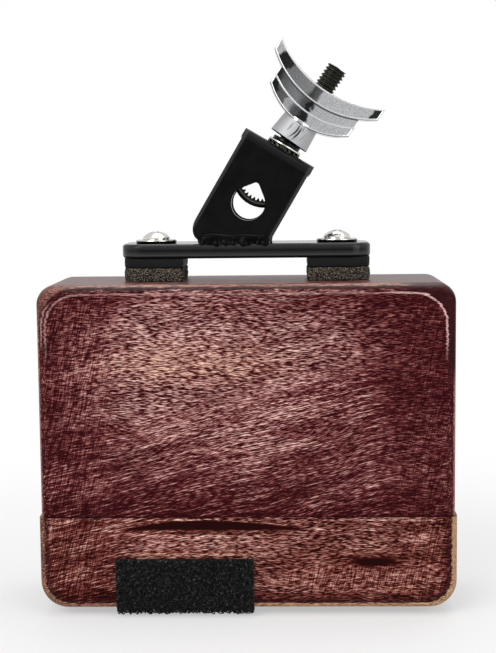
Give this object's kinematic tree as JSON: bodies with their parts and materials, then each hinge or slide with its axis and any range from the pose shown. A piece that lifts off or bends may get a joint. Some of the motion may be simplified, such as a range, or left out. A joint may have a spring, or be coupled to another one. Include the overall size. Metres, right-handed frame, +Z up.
{
  "type": "woodblock",
  "caption": "Two-piece stained hardwood block with a sawn tone slot, carried on felt and rubber pads under a welded rod clamp with a toothed eyebolt and a winged nut.",
  "frame": {"origin": "under the middle of the object, on the surface that the loop strip stands on", "axes": "+X along the block to the right as seen from the front, +Y from the striking face to the back, +Z up through the clamp"},
  "size_m": [0.1516, 0.053, 0.2091],
  "materials": {
    "stained_wood": "wine-red stain, sanded through in streaks, satin",
    "stained_wood_lower": "redder wine stain with golden-tan patches, satin",
    "loop_pile": "black looped pile",
    "felt": "pressed grey-brown wool felt",
    "pad_rubber": "matt black rubber",
    "black_paint": "glossy black powder coat",
    "blackened_steel": "black oxide",
    "chrome_plate": "bright chrome on a casting",
    "zinc_plate": "bright zinc",
    "black_nylon": "satin black",
    "insert_brass": "plain turned brass"
  },
  "bodies": {
    "root": {"main_block": "stained_wood", "lower_block": "stained_wood_lower", "loop_strip": "loop_pile", "left_felt_pad": "felt", "right_felt_pad": "felt", "left_rubber_pad": "pad_rubber", "right_rubber_pad": "pad_rubber", "mounting_plate": "black_paint", "folded_bracket": "black_paint", "weld_beads": "black_paint", "toothed_washer": "zinc_plate", "flat_washer": "zinc_plate", "friction_washer": "black_nylon", "plate_screws": "zinc_plate", "screw_washers": "zinc_plate", "thread_inserts": "insert_brass"},
    "wing_nut": {"wing_nut": "chrome_plate"},
    "eyebolt": {"eyebolt": "blackened_steel"}
  },
  "joints": [
    {"name": "wing_nut_turn", "type": "hinge", "parent": "root", "child": "wing_nut", "pos_m": [0.00668, 0.00145, 0.15915], "axis": [0.5736, 0, 0.8192], "range_deg": [0, 2800]},
    {"name": "eyebolt_slide", "type": "slide", "parent": "root", "child": "eyebolt", "axis": [-0.5736, 0, -0.8192], "range_m": [0, 0.011]}
  ],
  "couplings": [
    {"joint": "eyebolt_slide", "follows": "wing_nut_turn", "m_per_rad": 0.00022457}
  ]
}
